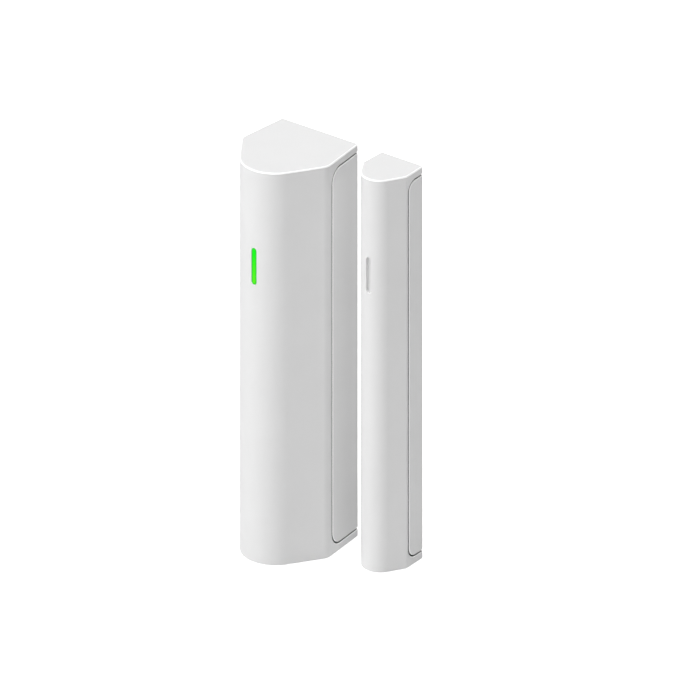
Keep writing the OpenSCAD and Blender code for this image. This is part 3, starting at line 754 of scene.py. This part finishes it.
def metal(name, dark, light, size, stretch, rough, rougher):
    """Drawn or rolled metal, with its grain along one direction."""
    surface = Surface(name)
    surface.colour(dark, light, size, detail=4, stretch=stretch)
    surface.roughness(low=rough, high=rougher, size=size * 3)
    surface.grain(size=size, depth=0.003 * MM, stretch=stretch)
    surface.set(Metallic=1.0)
    return surface.material


def steel():
    return metal(
        "steel", dark=(0.46, 0.47, 0.48), light=(0.62, 0.63, 0.64), size=0.15 * MM, stretch=(12, 1, 1),
        rough=0.22, rougher=0.36)


def copper():
    return metal(
        "copper", dark=(0.55, 0.33, 0.14), light=(0.72, 0.46, 0.22), size=0.1 * MM, stretch=(1, 1, 10),
        rough=0.2, rougher=0.32)


def brass():
    return metal(
        "brass", dark=(0.55, 0.42, 0.16), light=(0.72, 0.58, 0.26), size=0.15 * MM, stretch=(8, 1, 1),
        rough=0.25, rougher=0.4)


def magnet_nickel():
    return metal(
        "magnet_nickel", dark=(0.38, 0.385, 0.40), light=(0.46, 0.465, 0.48), size=0.4 * MM,
        stretch=(1, 1, 3), rough=0.3, rougher=0.5)


def reed_glass():
    surface = Surface("reed_glass")
    surface.colour(dark=(0.70, 0.93, 0.88), light=(0.78, 0.97, 0.93), size=2 * MM)
    surface.roughness(low=0.02, high=0.06, size=1 * MM)
    surface.set(Transmission_Weight=0.95, IOR=1.5)
    return surface.material


def led_package():
    surface = Surface("led_package")
    surface.colour(dark=(0.75, 0.74, 0.55), light=(0.85, 0.84, 0.66), size=0.5 * MM)
    surface.roughness(low=0.12, high=0.25, size=0.3 * MM)
    surface.set(Subsurface_Weight=0.2, Subsurface_Scale=0.3 * MM)
    return surface.material


def chip_parts():
    surface = Surface("chip_parts")
    surface.colour(dark=(0.30, 0.20, 0.12), light=(0.44, 0.33, 0.22), size=0.5 * MM)
    surface.roughness(low=0.35, high=0.6, size=0.2 * MM)
    surface.grain(size=0.1 * MM, depth=0.004 * MM)
    return surface.material


def cell_sleeve():
    """Plain film shrunk on to the cell."""
    surface = Surface("cell_sleeve")
    blue = (0.03, 0.10, 0.28)
    surface.colour(dark=(0.02, 0.07, 0.22), light=blue, size=6 * MM, detail=2, stretch=(1, 1, 4))
    surface.roughness(low=0.18, high=0.3, size=2 * MM)
    surface.grain(size=1.5 * MM, depth=0.02 * MM, detail=2, stretch=(1, 1, 3))
    surface.set(Coat_Weight=0.5)
    return surface.material


def terminal_green():
    surface = Surface("terminal_green")
    surface.colour(dark=(0.015, 0.17, 0.06), light=(0.022, 0.21, 0.08), size=3 * MM)
    surface.roughness(low=0.35, high=0.5, size=0.6 * MM)
    surface.grain(size=0.2 * MM, depth=0.004 * MM)
    return surface.material


def button_grey():
    surface = Surface("button_grey")
    surface.colour(dark=(0.58, 0.58, 0.58), light=(0.64, 0.64, 0.64), size=1.5 * MM)
    surface.roughness(low=0.4, high=0.55, size=0.4 * MM)
    surface.grain(size=0.15 * MM, depth=0.003 * MM)
    return surface.material


def foam_dark():
    surface = Surface("foam_dark")
    surface.colour(dark=(0.035, 0.035, 0.04), light=(0.08, 0.08, 0.09), size=0.4 * MM, detail=5)
    surface.roughness(low=0.85, high=1, size=0.5 * MM)
    surface.grain(size=0.3 * MM, depth=0.12 * MM, detail=5)
    return surface.material


# ---- Finish of the CAD nodes ----


def soften(node, slot):
    """Gives a CAD node its finish, and small rounded edges."""
    piece = frame["nodes"][node]
    low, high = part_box(node)
    piece.data.materials.clear()
    piece.data.materials.append(materials[slot])
    weld = piece.modifiers.new("weld", "WELD")
    weld.merge_threshold = WELD
    if node not in ROUND_WIRES:
        flatten = piece.modifiers.new("flat faces", "DECIMATE")
        flatten.decimate_type = "DISSOLVE"
        flatten.angle_limit = math.radians(FLAT_ANGLE)
        bevel = piece.modifiers.new("edges", "BEVEL")
        bevel.width = min(NODE_BEVEL, min(high - low) * NODE_BEVEL_SHARE)
        bevel.segments = NODE_BEVEL_SEGMENTS
        bevel.limit_method = "ANGLE"
        bevel.angle_limit = math.radians(NODE_SHARP_ANGLE)
    weighted = piece.modifiers.new("normals", "WEIGHTED_NORMAL")
    weighted.keep_sharp = False
    weighted.weight = FLAT_WEIGHT


# ---- Studio ----


def floor():
    """A plain white floor, so well lit that it shows no shadow."""
    z = cad_bounds[0].z - FLOOR_DROP
    corners = [(x * FLOOR_HALF, y * FLOOR_HALF, z) for x, y in ((-1, -1), (1, -1), (1, 1), (-1, 1))]
    piece = add_mesh("floor", corners, [(0, 1, 2, 3)])
    surface = Surface("floor_white")
    surface.colour(dark=(0.78, 0.78, 0.78), light=(0.8, 0.8, 0.8), size=0.2)
    rays = surface.nodes.new("ShaderNodeLightPath")
    glow = surface.spread(rays.outputs["Is Camera Ray"], 0, 1, FLOOR_GLOW, WHITE_TO_CAMERA)
    surface.feed(glow, "Emission Strength")
    surface.set(Emission_Color=(1, 1, 1, 1))
    piece.data.materials.append(surface.material)


def world():
    """Even white surroundings: full white to the camera, softer as light."""
    scene_world = bpy.data.worlds.new("studio")
    bpy.context.scene.world = scene_world
    scene_world.use_nodes = True
    nodes = scene_world.node_tree.nodes
    links = scene_world.node_tree.links
    background = nodes["Background"]
    rays = nodes.new("ShaderNodeLightPath")
    strength = nodes.new("ShaderNodeMapRange")
    strength.inputs["To Min"].default_value = FILL
    strength.inputs["To Max"].default_value = WHITE_TO_CAMERA
    background.inputs["Color"].default_value = (1, 1, 1, 1)
    links.new(rays.outputs["Is Camera Ray"], strength.inputs["Value"])
    links.new(strength.outputs["Result"], background.inputs["Strength"])


def direction(azimuth, elevation):
    """From the object towards a point of the studio; azimuth 0 is in front, 90 to the right."""
    a = math.radians(azimuth)
    e = math.radians(elevation)
    return Vector((math.sin(a) * math.cos(e), -math.cos(a) * math.cos(e), math.sin(e)))


def softbox(name, azimuth, elevation, power):
    light = bpy.data.lights.new(name, "AREA")
    light.shape = "SQUARE"
    light.size = SOFTBOX_SIZE
    light.energy = power
    lamp = bpy.data.objects.new(name, light)
    towards = direction(azimuth, elevation)
    lamp.location = centre + towards * SOFTBOX_DISTANCE
    lamp.rotation_mode = "QUATERNION"
    lamp.rotation_quaternion = towards.to_track_quat("Z", "Y")
    bpy.context.scene.collection.objects.link(lamp)


def camera():
    lens = bpy.data.cameras.new("camera")
    lens.type = "ORTHO"
    lens.ortho_scale = PICTURE_WIDTH
    lens.clip_start = CAMERA_NEAR
    lens.clip_end = CAMERA_FAR
    back = direction(CAMERA_AZIMUTH, CAMERA_ELEVATION)
    turn = back.to_track_quat("Z", "Y")
    eye = bpy.data.objects.new("camera", lens)
    eye.rotation_mode = "QUATERNION"
    eye.rotation_quaternion = turn
    eye.location = centre + turn @ Vector((AIM_RIGHT, AIM_UP, 0)) + back * CAMERA_DISTANCE
    bpy.context.scene.collection.objects.link(eye)
    bpy.context.scene.camera = eye


# ---- The whole scene ----

sensor = Casing(SENSOR, "sensor_housing", "sensor_rear_cover")
magnet = Casing(MAGNET, "magnet_housing", "magnet_rear_cover")
window_z = sum(corner.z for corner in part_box("light_guide")) / 2
centre = (cad_bounds[0] + cad_bounds[1]) / 2
materials = {
    "casing_white": casing_white(),
    "plate_white": plate_white(),
    "tape_foam": tape_foam(),
    "light_guide": lit_guide(),
    "board_green": board_green(),
    "part_black": part_black(),
    "steel": steel(),
    "copper": copper(),
    "reed_glass": reed_glass(),
    "led_package": led_package(),
    "chip_parts": chip_parts(),
    "cell_sleeve": cell_sleeve(),
    "terminal_green": terminal_green(),
    "brass": brass(),
    "button_grey": button_grey(),
    "magnet_nickel": magnet_nickel(),
    "foam_dark": foam_dark(),
}

sensor_housing()
sensor_cover()
magnet_housing()
magnet_cover()
light_guide()
for part in frame["record"]["subparts"]:
    soften(part["node"], part["material_slot"])
floor()
world()
for box in SOFTBOXES:
    softbox(*box)
camera()
bpy.context.scene.view_settings.view_transform = "Standard"
